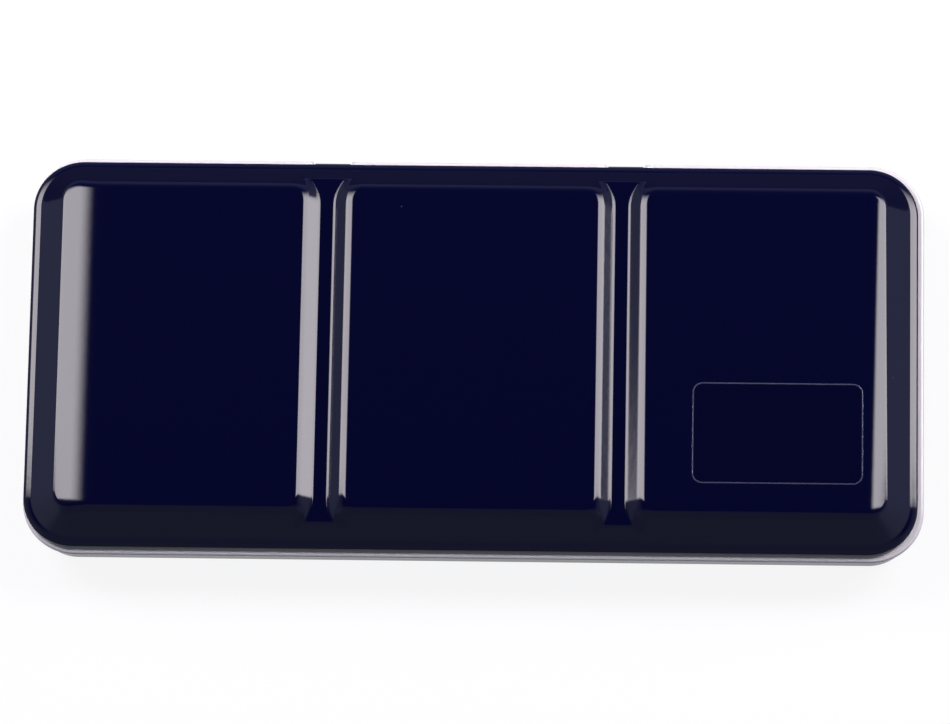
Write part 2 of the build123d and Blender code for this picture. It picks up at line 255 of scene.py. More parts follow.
def paperSweep():
    # matt paper: diffuse, plus a plain glow for camera, gloss and glass; for gloss and glass it
    # falls evenly with the distance past a clear rectangle round the tin
    material, tree = newMaterial("matt paper sweep")
    tint = hexLinear(studio["floorColour"])
    ray = addNode(tree, "ShaderNodeLightPath")
    dim, lit = (tuple(c * share for c in tint[:3]) + (1.0,) for share in studio["floorAlbedo"])
    albedo = addNode(tree, "ShaderNodeMix", {"data_type": "RGBA", 6: dim, 7: lit},
                     {0: ray.outputs["Is Camera Ray"]})
    paper = addNode(tree, "ShaderNodeBsdfDiffuse", {"Roughness": 0.6}, {"Color": albedo.outputs[2]})
    place = addNode(tree, "ShaderNodeTexCoord")
    split = addNode(tree, "ShaderNodeSeparateXYZ", links={0: place.outputs["Object"]})
    reach = []
    for axis, half in zip("XY", studio["clearHalf"]):
        far = addNode(tree, "ShaderNodeMath", {"operation": "ABSOLUTE"}, {0: split.outputs[axis]})
        past = addNode(tree, "ShaderNodeMath", {"operation": "SUBTRACT", 1: half}, {0: far.outputs[0]})
        reach.append(past)
    past = addNode(tree, "ShaderNodeMath", {"operation": "MAXIMUM"},
                   {0: reach[0].outputs[0], 1: reach[1].outputs[0]})
    fade = addNode(tree, "ShaderNodeMapRange",
                   {"From Min": 0.0, "From Max": studio["fadeRun"], "To Min": studio["floorGlow"],
                    "To Max": studio["floorGlowAway"]}, {"Value": past.outputs[0]})
    mirrored = addNode(tree, "ShaderNodeMath", {"operation": "MAXIMUM"},
                       {0: ray.outputs["Is Glossy Ray"], 1: ray.outputs["Is Transmission Ray"]})
    inGloss = addNode(tree, "ShaderNodeMath", {"operation": "MULTIPLY"},
                      {0: mirrored.outputs[0], 1: fade.outputs[0]})
    direct = addNode(tree, "ShaderNodeMath", {"operation": "MULTIPLY", 1: studio["floorGlow"]},
                     {0: ray.outputs["Is Camera Ray"]})
    strength = addNode(tree, "ShaderNodeMath", {"operation": "MAXIMUM"},
                       {0: direct.outputs[0], 1: inGloss.outputs[0]})
    glow = addNode(tree, "ShaderNodeEmission", {"Color": tint}, {"Strength": strength.outputs[0]})
    both = addNode(tree, "ShaderNodeAddShader", links={0: paper.outputs[0], 1: glow.outputs[0]})
    finishMaterial(tree, both)
    return material


floorCorners = np.array([(-1, -1, 0), (1, -1, 0), (1, 1, 0), (-1, 1, 0)]) * studio["floorReach"]
floorMesh = bpy.data.meshes.new("floor")
floorMesh.from_pydata(floorCorners, [], [(0, 1, 2, 3)])
floorMesh.materials.append(paperSweep())
floor = bpy.data.objects.new("floor", floorMesh)
bpy.context.scene.collection.objects.link(floor)


def softCard(name, spec):
    # long card lamp that leans over the tin from its inner edge, high up, to its outer edge near
    # the floor; its light fades softly towards all four edges, and its power is radiance * pi * area
    inner, outer = np.array(spec["inner"]), np.array(spec["outer"])
    length = float(np.linalg.norm(outer - inner))
    near, far = studio["cardSpan"]
    lamp = bpy.data.lights.new(name, "AREA")
    lamp.shape = "RECTANGLE"
    lamp.size, lamp.size_y = length, far - near
    lamp.energy = studio["radiance"] * math.pi * length * (far - near)
    lamp.color = studio["lampColour"]
    lamp.use_nodes = True
    tree = lamp.node_tree
    tree.nodes.clear()
    place = addNode(tree, "ShaderNodeNewGeometry")
    split = addNode(tree, "ShaderNodeSeparateXYZ", links={0: place.outputs["Parametric"]})
    low, high = studio["cardSoft"] if inner[0] > 0 else studio["cardSoft"][::-1]
    ends = (("X", 0.0, spec["soft"][0]), ("X", 1.0, 1.0 - spec["soft"][1]),
            ("Y", 0.0, low), ("Y", 1.0, 1.0 - high))
    level = None
    for axis, dark, full in ends:
        fade = addNode(tree, "ShaderNodeMapRange",
                       {"interpolation_type": "SMOOTHSTEP", "From Min": dark, "From Max": full},
                       {"Value": split.outputs[axis]})
        level = addNode(tree, "ShaderNodeMath", {"operation": "MULTIPLY"},
                        {0: level.outputs[0], 1: fade.outputs[0]}) if level else fade
    glow = addNode(tree, "ShaderNodeEmission", links={"Strength": level.outputs[0]})
    addNode(tree, "ShaderNodeOutputLight", links={"Surface": glow.outputs[0]})
    card = bpy.data.objects.new(name, lamp)
    along = (outer - inner) / length
    x = np.array([along[0], 0, along[1]])
    y = np.array([0, np.sign(along[0]), 0])
    middle = [(inner[0] + outer[0]) / 2, (near + far) / 2, (inner[1] + outer[1]) / 2]
    standing = np.eye(4)
    standing[:3] = np.c_[x, y, np.cross(x, y), middle]
    card.matrix_world = Matrix(standing.tolist())
    bpy.context.scene.collection.objects.link(card)


softCard("leftCard", studio["left"])
softCard("rightCard", studio["right"])


def dimRoom():
    # grey blue near the horizon, nearly black overhead, by the height of the direction, and a
    # plain glow from in front and from both sides
    world = bpy.data.worlds.new("dim room")
    world.use_nodes = True
    tree = world.node_tree
    tree.nodes.clear()
    place = addNode(tree, "ShaderNodeTexCoord")
    split = addNode(tree, "ShaderNodeSeparateXYZ", links={0: place.outputs["Generated"]})
    ramp = addNode(tree, "ShaderNodeValToRGB", links={0: split.outputs["Z"]})
    stops = ramp.color_ramp.elements
    for i, (height, code) in enumerate(studio["sky"]):
        stop = stops[i] if i < 2 else stops.new(height)
        stop.position, stop.color = height, hexLinear(code)

    def softBand(band, top, socket):
        return addNode(tree, "ShaderNodeMapRange",
                       {"interpolation_type": "SMOOTHSTEP", "From Min": band[0], "From Max": band[1],
                        "To Max": top}, {"Value": socket})

    ahead = softBand(studio["frontBand"], studio["frontGlow"], split.outputs["Y"])
    above = softBand(studio["frontRise"], 1.0, split.outputs["Z"])
    front = addNode(tree, "ShaderNodeMath", {"operation": "MULTIPLY"},
                    {0: ahead.outputs[0], 1: above.outputs[0]})
    away = addNode(tree, "ShaderNodeMath", {"operation": "ABSOLUTE"}, {0: split.outputs["X"]})
    side = softBand(studio["sideBand"], studio["sideGlow"], away.outputs[0])
    glow = addNode(tree, "ShaderNodeMath", {"operation": "ADD"}, {0: front.outputs[0], 1: side.outputs[0]})
    both = addNode(tree, "ShaderNodeMix",
                   {"data_type": "RGBA", "blend_type": "ADD", 7: studio["glowTint"]},
                   {0: glow.outputs[0], 6: ramp.outputs["Color"]})
    sky = addNode(tree, "ShaderNodeBackground", {"Strength": 1.0}, {"Color": both.outputs[2]})
    addNode(tree, "ShaderNodeOutputWorld", links={"Surface": sky.outputs[0]})
    bpy.context.scene.world = world


dimRoom()
print("stage and lamps set")


# Finishes

def glossEnamel(name, spec, dust=False):
    # stoved gloss enamel on steel: mirror smooth with a faint orange peel a few millimetres wide
    material, tree = newMaterial(name)
    place = addNode(tree, "ShaderNodeTexCoord")
    peel = addNode(tree, "ShaderNodeTexNoise", {"Scale": 1000 / spec["peelWidth"], "Detail": 4.0},
                   {"Vector": place.outputs["Object"]})
    bump = addNode(tree, "ShaderNodeBump", {"Strength": spec["peel"], "Distance": 0.0001},
                   {"Height": peel.outputs[0]})
    shader = addNode(tree, "ShaderNodeBsdfPrincipled",
                     {"Base Color": hexLinear(spec["colour"]), "Roughness": spec["roughness"], "IOR": 1.55},
                     {"Normal": bump.outputs[0]})
    if dust:
        # pale specks up to twice speckSize wide, kept in about one cell of seven
        cells = addNode(tree, "ShaderNodeTexVoronoi", {"Scale": 1000 / spec["speckCell"]},
                        {"Vector": place.outputs["Object"]})
        near = addNode(tree, "ShaderNodeMath",
                       {"operation": "LESS_THAN", 1: spec["speckSize"] / spec["speckCell"]},
                       {0: cells.outputs["Distance"]})
        pick = addNode(tree, "ShaderNodeSeparateColor", links={0: cells.outputs["Color"]})
        kept = addNode(tree, "ShaderNodeMath", {"operation": "GREATER_THAN", 1: 1 - spec["speckShare"]},
                       {0: pick.outputs[0]})
        speck = addNode(tree, "ShaderNodeMath", {"operation": "MULTIPLY"},
                        {0: near.outputs[0], 1: kept.outputs[0]})
        tone = addNode(tree, "ShaderNodeMix",
                       {"data_type": "RGBA", 6: hexLinear(spec["colour"]), 7: hexLinear(spec["speckColour"])},
                       {0: speck.outputs[0]})
        tree.links.new(tone.outputs[2], shader.inputs["Base Color"])
    finishMaterial(tree, shader)
    return material


def rolledMetal(name, spec):
    # bright sheet or wire: a metal whose gloss wavers along fine drawing or rolling lines
    material, tree = newMaterial(name)
    place = addNode(tree, "ShaderNodeTexCoord")
    stretch = addNode(tree, "ShaderNodeMapping", {"Scale": spec["grain"]},
                      {"Vector": place.outputs["Object"]})
    lines = addNode(tree, "ShaderNodeTexNoise", {"Scale": 1.0, "Detail": 3.0},
                    {"Vector": stretch.outputs[0]})
    low, high = spec["roughness"]
    gloss = addNode(tree, "ShaderNodeMapRange", {"To Min": low, "To Max": high},
                    {"Value": lines.outputs[0]})
    bump = addNode(tree, "ShaderNodeBump", {"Strength": 0.05, "Distance": 0.0001},
                   {"Height": lines.outputs[0]})
    shader = addNode(tree, "ShaderNodeBsdfPrincipled",
                     {"Base Color": hexLinear(spec["colour"]), "Metallic": 1.0},
                     {"Roughness": gloss.outputs[0], "Normal": bump.outputs[0]})
    finishMaterial(tree, shader)
    return material


navy = glossEnamel("navy stoved enamel", {
    "colour": "06082a", "roughness": 0.07, "peelWidth": 3.0, "peel": 0.06,
    "speckCell": 9.0, "speckSize": 0.14, "speckShare": 0.14, "speckColour": "4a4c68"}, dust=True)
white = glossEnamel("white stoved enamel", {
    "colour": "efedf1", "roughness": 0.12, "peelWidth": 3.0, "peel": 0.03})
tinned = rolledMetal("tinned steel sheet", {
    "colour": "c9cbcf", "grain": (60, 2500, 2500), "roughness": (0.22, 0.36)})
drawnWire = rolledMetal("bright drawn steel wire", {
    "colour": "cfd0d2", "grain": (300, 300, 300), "roughness": (0.12, 0.2)})
nickelled = rolledMetal("nickel plated brass tube", {
    "colour": "d6d3cc", "grain": (4000, 200, 200), "roughness": (0.08, 0.16)})


# Lid: one pressed sheet, navy outside and white inside

lidSpec = {
    "length": 211.3, "width": 96.0, "top": 22.0, "rise": 6.3, "corner": 12.0, "sheet": 0.4, "play": 0.65,
    "beadReach": 1.9, "beadSlopes": (15.0, 35.0), "beadRun": 1.46, "beadRound": 0.8, "beadTurn": 222,
    "wallSlopes": (0.90, 0.95, 1.07),         # left, right, near and far: rise over run
    "footShift": -0.05, "footRound": 0.15,
    # left, right, near, far: distance in of the crease, fall of the shoulder there and its run
    "shoulders": ((5.75, 1.15, 10.5), (5.7, 0.76, 4.8), (5.8, 0.136, 2.5), (5.8, 0.1, 3.0)),
    "shoulderPower": 2.2,
    "rightTaper": 0.28,                       # the right shoulder is this share less at its far end
    "creaseBands": (0.28, 0.9, 1.6),          # ends, near, far
    "grooves": (-35.24, 34.97), "grooveHalf": 1.72, "grooveFloor": 3.6, "rootBand": 0.12,
    "slopes": (0.78, 0.73, 0.80, 0.71),       # groove walls from left to right, rise over run
    "lastTwist": 0.025,                       # how much steeper the last one is at its far end
    "crownBands": (0.6, 0.8, 0.7, 0.75),
    "floorEnd": 3.5, "flareRun": 6.5, "flares": (1.6, 2.6), "flareMost": 1.15,
    "floorEndBand": 0.3, "cornerBand": 3.0,
    "wallZone": (3.0, 6.0),                   # the corners' band fades from here inwards, over this run
    "crownRise": 0.8, "cornerRise": 1.5,      # heights over the groove's floor with the full bands
    # mesh steps: coarse, near the grooves (half width, step) and at both ends (left, right, step)
    "meshStep": 2.2, "meshGroove": (8.7, 0.3), "meshEnds": (8.0, 2.4, 0.8),
}
lidFlange = lidSpec["top"] - lidSpec["rise"]
lidHalf = (lidSpec["length"] / 2 - lidSpec["beadReach"], lidSpec["width"] / 2 - lidSpec["beadReach"])
lidReach = lidSpec["corner"] - lidSpec["beadReach"]


def softRamp(v, k):
    # 0 before v = 0 and v after it, its corner rounded over a band k
    return (v + np.sqrt(v * v + k * k)) / 2


def lidPlate(x, y):
    # wall up from the foot, met by a plate that falls towards each side as drop * (1 - t)^power;
    # slopes and crease bands pass from the ends' to the long sides' round the corners
    s = lidSpec
    qx, qy = np.abs(x) - lidHalf[0] + lidReach, np.abs(y) - lidHalf[1] + lidReach
    d = lidReach - np.hypot(np.maximum(qx, 0), np.maximum(qy, 0)) - np.minimum(np.maximum(qx, qy), 0)
    share = np.maximum(qy, 0) ** 2 / (np.maximum(qx, 0) ** 2 + np.maximum(qy, 0) ** 2 + 1e-9)
    ends = np.where(x < 0, *s["wallSlopes"][:2])
    slope = ends + (s["wallSlopes"][2] - ends) * share
    foot = softRamp(-s["footShift"], s["footRound"])
    wall = slope * (softRamp(d - s["footShift"], s["footRound"]) - foot)
    top = np.full_like(x, s["rise"])
    inwards = (x + lidHalf[0], lidHalf[0] - x, y + lidHalf[1], lidHalf[1] - y)
    tapers = (1, 1 - s["rightTaper"] * y / lidHalf[1], 1, 1)
    for inward, taper, (crease, drop, run) in zip(inwards, tapers, s["shoulders"]):
        toCrease = 1 - np.clip((inward - crease) / (taper * run), 0, 1)
        top -= taper * drop * toCrease ** s["shoulderPower"]
    endBand = s["creaseBands"][0]
    band = endBand + (np.where(y < 0, *s["creaseBands"][1:]) - endBand) * share
    return d, smoothMin(wall, top, band)


def lidHeight(x, y):
    # plate cut by two grooves: the floor flares out as a square of the distance near both ends,
    # and plate and groove meet over a band that widens towards the panels' corners
    s = lidSpec
    d, plate = lidPlate(x, y)
    second = x > sum(s["grooves"]) / 2
    across = x - np.where(second, s["grooves"][1], s["grooves"][0])
    wall = second * 2 + (across > 0)
    slope = np.array(s["slopes"])[wall] + (wall == 3) * s["lastTwist"] * y / lidHalf[1]
    crown = np.array(s["crownBands"])[wall]
    fromEnd = lidHalf[1] - np.abs(y) - s["floorEnd"]
    flare = np.where(y < 0, *s["flares"]) * np.clip(1 - fromEnd / s["flareRun"], 0, s["flareMost"]) ** 2
    rise = slope * softRamp(np.abs(across) - s["grooveHalf"] - flare, s["rootBand"])
    zone, run = s["wallZone"]
    nearWall = 1 - smoothStep((d - zone) / run)
    band = s["floorEndBand"] + (crown - s["floorEndBand"]) * smoothStep(rise / s["crownRise"])
    band = band + (s["cornerBand"] - crown) * nearWall * smoothStep(rise / s["cornerRise"])
    return lidFlange + smoothMin(plate, s["grooveFloor"] + rise, band)


def denseStations(low, high, coarse, spans):
    # places along a side: coarse steps, and within each span (from, to, step) its own fine ones
    marks = np.concatenate([[low, high]] + [np.arange(a, b + step / 2, step) for a, b, step in spans])
    marks = np.unique(np.round(marks[(marks >= low) & (marks <= high)], 4))
    steps = [np.linspace(a, b, max(1, math.ceil((b - a) / coarse - 1e-6)) + 1)[:-1]
             for a, b in zip(marks[:-1], marks[1:])]
    return np.concatenate(steps + [[high]])


def buildLid():
    s = lidSpec
    core = (lidHalf[0] - lidReach, lidHalf[1] - lidReach)
    half, fine = s["meshGroove"]
    left, right, step = s["meshEnds"]
    spans = [(c - half, c + half, fine) for c in s["grooves"]]
    spans += [(-core[0], -core[0] + left, step), (core[0] - right, core[0], step)]
    xs = denseStations(-core[0], core[0], s["meshStep"], spans)
    ys = denseStations(-core[1], core[1], s["meshStep"], ())
    point, normal = loopStations(*core, xs, ys, 22)
    marks = ((0, 0.5, 5), (0.5, 2.8, 5), (2.8, 4.0, 6), (4.0, 5.2, 3), (5.2, 7.2, 14), (7.2, lidReach, 5))
    inward = np.concatenate([np.linspace(a, b, n + 1)[:-1] for a, b, n in marks] + [[lidReach]])[::-1]
    strip = carryProfile(point, normal, lidReach, -inward, np.zeros(len(inward)))
    strip[..., 2] = lidHeight(strip[..., 0], strip[..., 1])
    # bead: a lip that falls outwards ever steeper, then an arc round and back under
    out = np.linspace(0, s["beadRun"], 8)
    steep = np.radians(np.interp(out, [0, s["beadRun"]], s["beadSlopes"]))
    fall = np.concatenate([[0], np.cumsum((np.tan(steep[1:]) + np.tan(steep[:-1])) / 2 * np.diff(out))])
    start = math.radians(90 - s["beadSlopes"][1])
    angle = start - np.radians(np.linspace(0, s["beadTurn"], 22))[1:]
    offsets = np.r_[out, out[-1] + s["beadRound"] * (np.cos(angle) - math.cos(start))]
    heights = lidFlange - np.r_[fall, fall[-1] - s["beadRound"] * (np.sin(angle) - math.sin(start))]
    bead = carryProfile(point, normal, lidReach, offsets, heights)
    gx, gy = np.meshgrid(xs, ys, indexing="ij")
    middle = np.stack([gx, gy, lidHeight(gx, gy)], axis=-1)
    shift = np.array([-s["play"], 0, 0])
    lid = makePiece("lid_sheet", [
        (strip + shift, gridFaces(len(point), len(inward), closeRows=True)[:, ::-1]),
        (bead + shift, gridFaces(len(point), len(offsets), closeRows=True)[:, ::-1]),
        (middle + shift, gridFaces(len(xs), len(ys))),
    ], [navy, white], "lid", closed=False)
    thicken(lid, s["sheet"])
    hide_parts("lid")
    print("lid pressed,", len(lid.data.polygons), "faces")


buildLid()


# Clear label: a thin film with a fine pale line painted along its cut edge as a highlight

labelSpec = {
    "size": (40.2, 24.8), "corner": 2.4, "centre": (71.7, -20.4), "low": 22.01, "high": 22.1, "edge": 0.28,
    "cover": (0.05, 0.24), "tones": ("0a0b24", "8f91b4"),     # inside, and the painted highlight at the edge
}


def clearFilm():
    # polypropylene film: clear and glossy, with a pale painted highlight along its cut edge
    material, tree = newMaterial("clear polypropylene film")
    edge = addNode(tree, "ShaderNodeAttribute", {"attribute_name": "edge"})
    clear, edgeHighlightCover = labelSpec["cover"]
    # the pale edge tone and the higher cover there paint the edge's highlight, not the film's own colour
    inside, rim = (hexLinear(code) for code in labelSpec["tones"])
    cover = addNode(tree, "ShaderNodeMapRange", {"To Min": clear, "To Max": edgeHighlightCover},
                    {"Value": edge.outputs["Fac"]})
    tone = addNode(tree, "ShaderNodeMix", {"data_type": "RGBA", 6: inside, 7: rim},
                   {0: edge.outputs["Fac"]})
    shader = addNode(tree, "ShaderNodeBsdfPrincipled", {"Roughness": 0.09, "IOR": 1.49},
                     {"Base Color": tone.outputs[2], "Alpha": cover.outputs[0]})
    finishMaterial(tree, shader)
    return material


def buildLabel():
    s = labelSpec
    rings = [(0, 0, s["low"]), (0, 1, s["low"]), (0, 1, s["high"] - 0.03), (-0.05, 1, s["high"]),
             (-s["edge"], 1, s["high"]), (-s["edge"] - 0.05, 1, s["high"]), (-1.5, 1, s["high"]),
             (0, 0, s["high"])]
    xyz, faces = ringShell(s["size"], s["corner"], rings, s["centre"], 10, 12)
    # edge marks the rings where the highlight is painted
    edge = np.tile([0, 0, 1, 1, 1, 0, 0, 0], (len(xyz), 1)).astype(float)
    label = makePiece("clear_film", [(xyz, faces)], [clearFilm()], "lid", values={"edge": edge})
    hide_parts("clear_label")


buildLabel()
print("label laid")


# Base: one pressed sheet, white inside and over its rolled rim, navy outside

traySpec = {
    "rimX": 106.4, "rimY": 49.25, "reach": 2.4, "corner": 10.425, "top": 13.3, "curl": 0.75, "neck": 0.45,
    "curlWrap": 240, "sheet": 0.4, "footWidth": 4.6, "footHeight": 2.2, "footSlope": 1.6, "bend": 2.2,
    "notchHalf": 4.65, "hingeX": 35.09,
}


def trayProfile(s):
    # inner face from the raised floor out: down the step, along the gutter, up the wall, over
    # the neck and round the curl, as offsets from the wall's outer face and heights
    t = s["sheet"]
    foot = s["footHeight"] + t
    step = -s["footWidth"]
    edge = step - s["footSlope"]
    offsets = [-s["corner"], edge - 0.6, edge - 0.1, edge + 0.25, step - 0.05, step + 0.3, step + 0.8,
               -s["bend"]]
    heights = [foot, foot, foot - 0.08, foot - 0.4, t + 0.45, t + 0.08, t, t]
    a = np.linspace(-np.pi / 2, 0, 8)[1:]
    inner = s["bend"] - t
    offsets += list(-s["bend"] + inner * np.cos(a))
    heights += list(s["bend"] + inner * np.sin(a))
    a = np.linspace(np.pi, np.pi / 2, 6)
    offsets += list(-t + s["neck"] + s["neck"] * np.cos(a))
    heights += list(s["top"] - s["neck"] + s["neck"] * np.sin(a))
    a = np.radians(np.linspace(90, 90 - s["curlWrap"], 20))
    offsets += list(s["reach"] - s["curl"] + s["curl"] * np.cos(a))
    heights += list(s["top"] - s["curl"] + s["curl"] * np.sin(a))
    return np.array(offsets), np.array(heights)


def buildTray():
    s = traySpec
    half = (s["rimX"] - s["reach"], s["rimY"] - s["reach"])
    core = (half[0] - s["corner"], half[1] - s["corner"])
    notch = [side * s["hingeX"] + end * s["notchHalf"] for side in (-1, 1) for end in (-1, 1)]
    xs = np.unique(np.concatenate([np.linspace(-core[0], core[0], 41), notch]))
    ys = np.linspace(-core[1], core[1], 15)
    point, normal = loopStations(*core, xs, ys, 20)
    offsets, heights = trayProfile(s)
    sheet = carryProfile(point, normal, s["corner"], offsets, heights)
    faces = gridFaces(len(point), len(offsets), closeRows=True)[:, ::-1]
    middle = sheet.reshape(-1, 3)[faces].mean(axis=1)
    # the lid's hinge leaves pass through two notches in the back rim
    notched = (np.abs(np.abs(middle[:, 0]) - s["hingeX"]) < s["notchHalf"]) & (middle[:, 1] > half[1] + 0.05)
    gx, gy = np.meshgrid(xs, ys, indexing="ij")
    bottom = np.stack([gx, gy, np.full_like(gx, s["footHeight"] + s["sheet"])], axis=-1)
    tray = makePiece("tray_sheet", [(sheet, faces[~notched]), (bottom, gridFaces(len(xs), len(ys)))],
                     [white, navy], "base", closed=False)
    thicken(tray, s["sheet"])
    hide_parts("base_tray")
    print("base pressed,", len(tray.data.polygons), "faces")


buildTray()


# Hinges: strips rolled round the pins, two from the lid and four from the base

hingeSpec = {
    "pinY": 48.15, "pinZ": 11.1, "outer": 1.05, "strip": 0.45, "lidLength": 8.4, "baseLength": 4.5,
    "gap": 0.3, "lidTop": 13.9, "baseLow": 7.7, "wrap": 320,
    # weld between the base's leaf and its wall: distance from the pin, thickness, insets
    "weldAway": 1.2, "weldSheet": 0.3, "weldInset": 0.3, "weldLow": 0.2,
}


def rolledLeaf(end, turn):
    # leaf from its far end straight to the pin's height, then an arc round the pin
    s = hingeSpec
    r = s["outer"] - s["strip"] / 2
    leafY = s["pinY"] - r
    straight = np.c_[np.full(6, leafY), np.linspace(end, s["pinZ"], 6)][:-1]
    angle = np.pi - turn * np.radians(np.linspace(0, s["wrap"], 30))
    arc = np.c_[s["pinY"] + r * np.cos(angle), s["pinZ"] + r * np.sin(angle)]
    return np.concatenate([straight, arc])


def buildHinges():
    s = hingeSpec
    weldY = s["pinY"] - s["weldAway"]
    weld = [(weldY, s["baseLow"] + s["weldLow"]), (weldY, s["pinZ"] - s["weldInset"])]
    for body, name, slotName, end, turn in (
        ("lid", "lid_knuckles", "navy_enamel", s["lidTop"], -1),
        ("base", "base_knuckles", "base_enamel", s["baseLow"], 1),
    ):
        parts = []
        for side in (-1, 1):
            x = side * traySpec["hingeX"]
            spans = [(x - s["lidLength"] / 2, x + s["lidLength"] / 2)]
            if body == "base":
                inner = s["lidLength"] / 2 + s["gap"]
                spans = [(x - inner - s["baseLength"], x - inner), (x + inner, x + inner + s["baseLength"])]
            for low, high in spans:
                parts.append(stripAlong(rolledLeaf(end, turn), s["strip"], low, high))
                if body == "base":
                    parts.append(stripAlong(weld, s["weldSheet"], low + s["weldInset"],
                                            high - s["weldInset"]))
        makePiece(name, parts, [navy], body)


buildHinges()
print("hinges rolled")


# Rack: tinned plate with ribs, turned-up ends and four rows of spring clips

rackSpec = {
    "size": (203.2, 88.9), "corner": 8.0, "low": 2.6, "sheet": 0.4, "ribY": 17.6, "ribHeight": 0.45,
    "ribWidth": 1.6, "ribHalf": 92.0, "endHeight": 5.0, "rowY": 33.45, "clipAway": 9.8, "clipHeight": 6.2,
    "clipWidth": 9.0, "clipSheet": 0.36, "pitch": 16.8, "count": 12, "endBend": 0.8, "endRoot": 2.0,
}


def buildRack():
    s = rackSpec
    top = s["low"] + s["sheet"]
    hx, hy = s["size"][0] / 2, s["size"][1] / 2
    rings = [(0, 0, s["low"]), (0, 1, s["low"]), (0, 1, top - 0.08), (-0.08, 1, top), (-s["corner"], 1, top)]
    plate = ringShell(s["size"], s["corner"], rings, (0, 0), 10, 12)
    # the plate's middle carries two long ribs: a bump across Y that fades at both ends
    xs = np.linspace(-hx + s["corner"], hx - s["corner"], 60)
    ys = np.unique(np.concatenate([np.linspace(-hy + s["corner"], hy - s["corner"], 12)]
                                  + [side * s["ribY"] + np.linspace(-2.4, 2.4, 17) for side in (-1, 1)]))
    gx, gy = np.meshgrid(xs, ys, indexing="ij")
    bump = smoothStep(1 - np.abs(np.abs(gy) - s["ribY"]) / s["ribWidth"])
    bump = bump * smoothStep((s["ribHalf"] - np.abs(gx)) / 3)
    ribs = np.stack([gx, gy, top + s["ribHeight"] * bump], axis=-1)
    parts = [plate, (ribs, gridFaces(len(xs), len(ys)))]
    # ends: a bend of the sheet and a straight flange
    half, bend = s["sheet"] / 2, s["endBend"]
    a = np.linspace(0, np.pi / 2, 6)
    path = np.c_[hx - half - bend + bend * np.sin(a), top - half + bend - bend * np.cos(a)]
    path = np.concatenate([[(hx - s["endRoot"], top - half)], path,
                           [(hx - half, s["low"] + s["endHeight"])]])
    for side in (-1, 1):
        parts.append(stripAlong(path, s["sheet"], -hy + s["corner"], hy - s["corner"],
                                lambda p, side=side: np.stack(
                                    [side * p[..., 1], p[..., 0], p[..., 2]], axis=-1)))
    # clips: up from the plate, leaning on the pan, then flared away at the top
    rise = np.array([0.2, 0.28, 0.6, 1.3, 2.6, 4.0, 4.9, 5.5, s["clipHeight"]])
    lean = np.array([0.9, 0.35, 0.08, 0.0, -0.05, -0.08, -0.02, 0.15, 0.4])
    clip = np.c_[s["clipAway"] + lean, top + rise]
    for row in (-s["rowY"], s["rowY"]):
        for side in (-1, 1):
            for i in range(s["count"]):
                x = (i - (s["count"] - 1) / 2) * s["pitch"]
                parts.append(stripAlong(clip, s["clipSheet"], x - s["clipWidth"] / 2, x + s["clipWidth"] / 2,
                                        lambda p, side=side, row=row: np.stack(
                                            [p[..., 0], row + side * p[..., 1], p[..., 2]], axis=-1)))
    rack = makePiece("rack_sheet", parts, [tinned], "base")
    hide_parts("pan_rack")


buildRack()
print("rack bent")


# Half pans and their cakes of colour

panSpec = {
    "size": (16.0, 19.0), "corner": 1.2, "low": 3.0, "high": 13.0, "wall": 0.8, "floor": 3.9,
    "cakeSize": (14.2, 17.2), "cakeCorner": 0.7, "cakeHigh": 11.1, "meniscus": 0.55,
}
paintColours = ["f5dc1e", "f7b500", "f08a00", "e4572e", "c8202f", "a3123a", "8c1d5a", "5b2a86",
                "2b2f8f", "123a8c", "0f5fa8", "1b86a8", "0f7f78", "0f6b46", "3f7d2c", "6d7f1f",
                "c79a3a", "b0702c", "8f4423", "5e3420", "42312a", "2e3a45", "1d1d20", "efece4"]


def mouldedPlastic():
    # polystyrene, injection moulded: smooth, slightly translucent white
    material, tree = newMaterial("moulded white polystyrene")
    place = addNode(tree, "ShaderNodeTexCoord")
    flow = addNode(tree, "ShaderNodeTexNoise", {"Scale": 300.0, "Detail": 2.0},
                   {"Vector": place.outputs["Object"]})
    gloss = addNode(tree, "ShaderNodeMapRange", {"To Min": 0.24, "To Max": 0.34}, {"Value": flow.outputs[0]})
    shader = addNode(tree, "ShaderNodeBsdfPrincipled",
                     {"Base Color": hexLinear("f0efea"), "IOR": 1.55, "Subsurface Weight": 0.08,
                      "Subsurface Scale": 0.001}, {"Roughness": gloss.outputs[0]})
    finishMaterial(tree, shader)
    return material


def driedColour(name, code):
    # poured and dried pigment in gum: satin, a little mottled, with a fine grainy skin
    material, tree = newMaterial(name)
    place = addNode(tree, "ShaderNodeTexCoord")
    cloud = addNode(tree, "ShaderNodeTexNoise", {"Scale": 260.0, "Detail": 4.0},
                    {"Vector": place.outputs["Object"]})
    grain = addNode(tree, "ShaderNodeTexNoise", {"Scale": 2200.0, "Detail": 3.0},
                    {"Vector": place.outputs["Object"]})
    colour = hexLinear(code)
    deep = tuple(c * 0.78 for c in colour[:3]) + (1.0,)
    pale = tuple(min(1.0, c * 1.06 + 0.006) for c in colour[:3]) + (1.0,)
    amount = addNode(tree, "ShaderNodeMapRange", {"From Min": 0.35, "From Max": 0.65},
                     {"Value": cloud.outputs[0]})
    tone = addNode(tree, "ShaderNodeMix", {"data_type": "RGBA", 6: deep, 7: pale}, {0: amount.outputs[0]})
    bump = addNode(tree, "ShaderNodeBump", {"Strength": 0.35, "Distance": 0.00015},
                   {"Height": grain.outputs[0]})
    shader = addNode(tree, "ShaderNodeBsdfPrincipled", {"Roughness": 0.48, "IOR": 1.48},
                     {"Base Color": tone.outputs[2], "Normal": bump.outputs[0]})
    finishMaterial(tree, shader)
    return material


